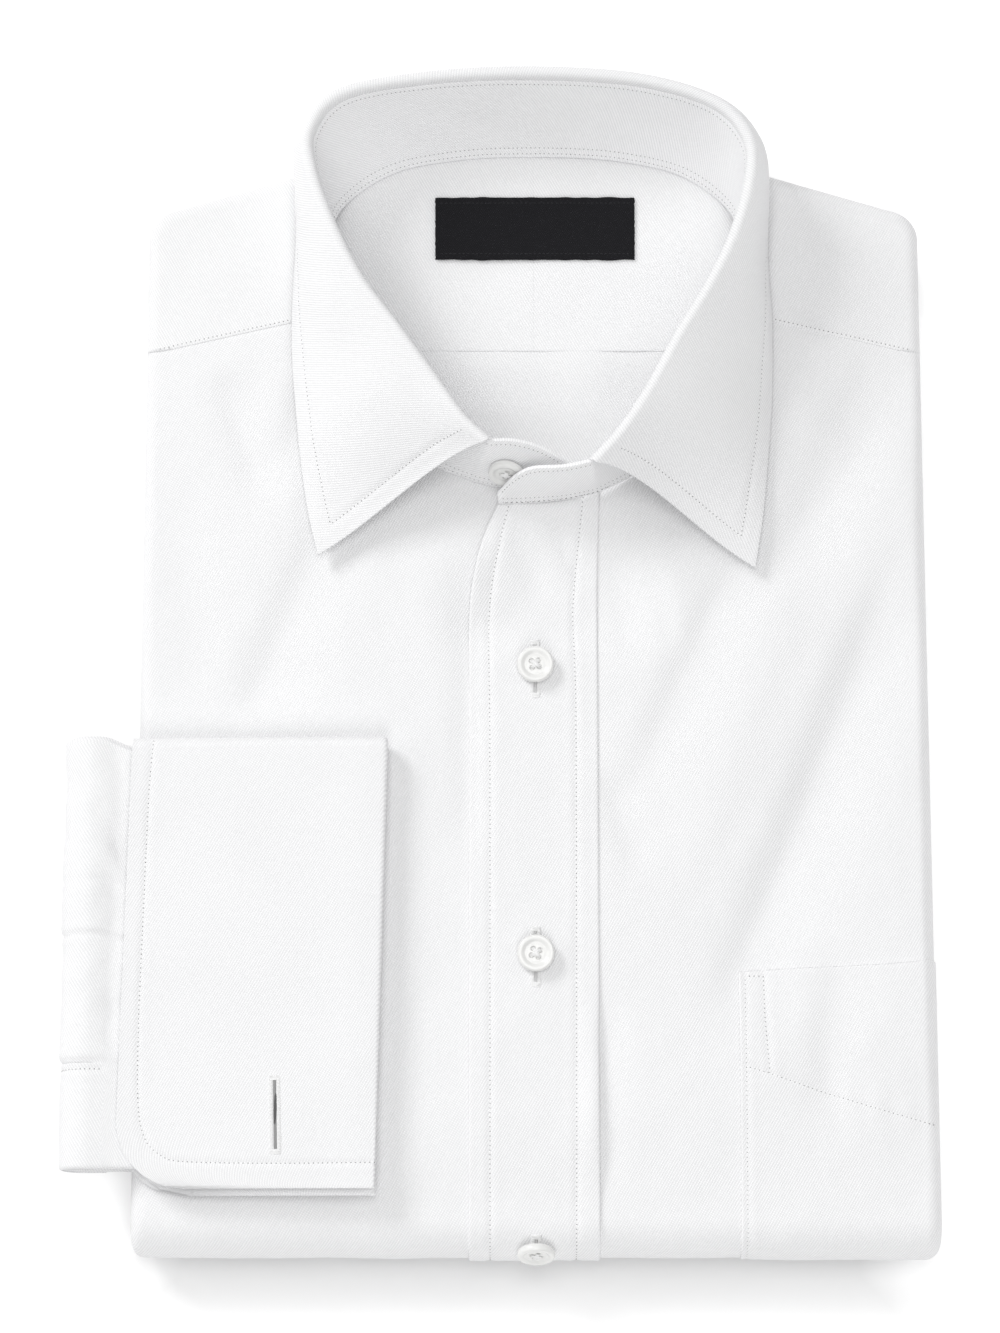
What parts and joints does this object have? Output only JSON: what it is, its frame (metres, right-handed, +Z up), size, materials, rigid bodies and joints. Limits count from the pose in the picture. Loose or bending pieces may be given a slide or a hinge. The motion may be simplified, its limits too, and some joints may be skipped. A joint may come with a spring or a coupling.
{
  "type": "folded long sleeve dress shirt",
  "caption": "White long sleeve dress shirt folded for retail and lying flat, with a spread collar, a chest pocket and one turned-back cuff.",
  "frame": {"origin": "bottom centre of the bounding box, on the surface the shirt lies on", "axes": "+Y towards the collar, along the folded body; +Z up from the surface; +X towards the wearer's left side"},
  "size_m": [0.2686, 0.3735, 0.0532],
  "materials": {
    "white_cloth": "matt fine woven cotton",
    "button_shell": "glossy, pearly",
    "label_cloth": "matt woven label"
  },
  "bodies": {
    "root": {"back_panel": "white_cloth", "button_1": "button_shell", "button_2": "button_shell", "button_3": "button_shell", "button_collar": "button_shell", "chest_pocket": "white_cloth", "collar_leaf": "white_cloth", "collar_stand": "white_cloth", "folded_layers": "white_cloth", "french_cuff": "white_cloth", "front_left": "white_cloth", "front_placket": "white_cloth", "front_right": "white_cloth", "inner_yoke_left": "white_cloth", "inner_yoke_right": "white_cloth", "neck_label": "label_cloth", "sleeve_placket": "white_cloth", "sleeve_right": "white_cloth", "yoke_left": "white_cloth", "yoke_right": "white_cloth"}
  },
  "joints": []
}
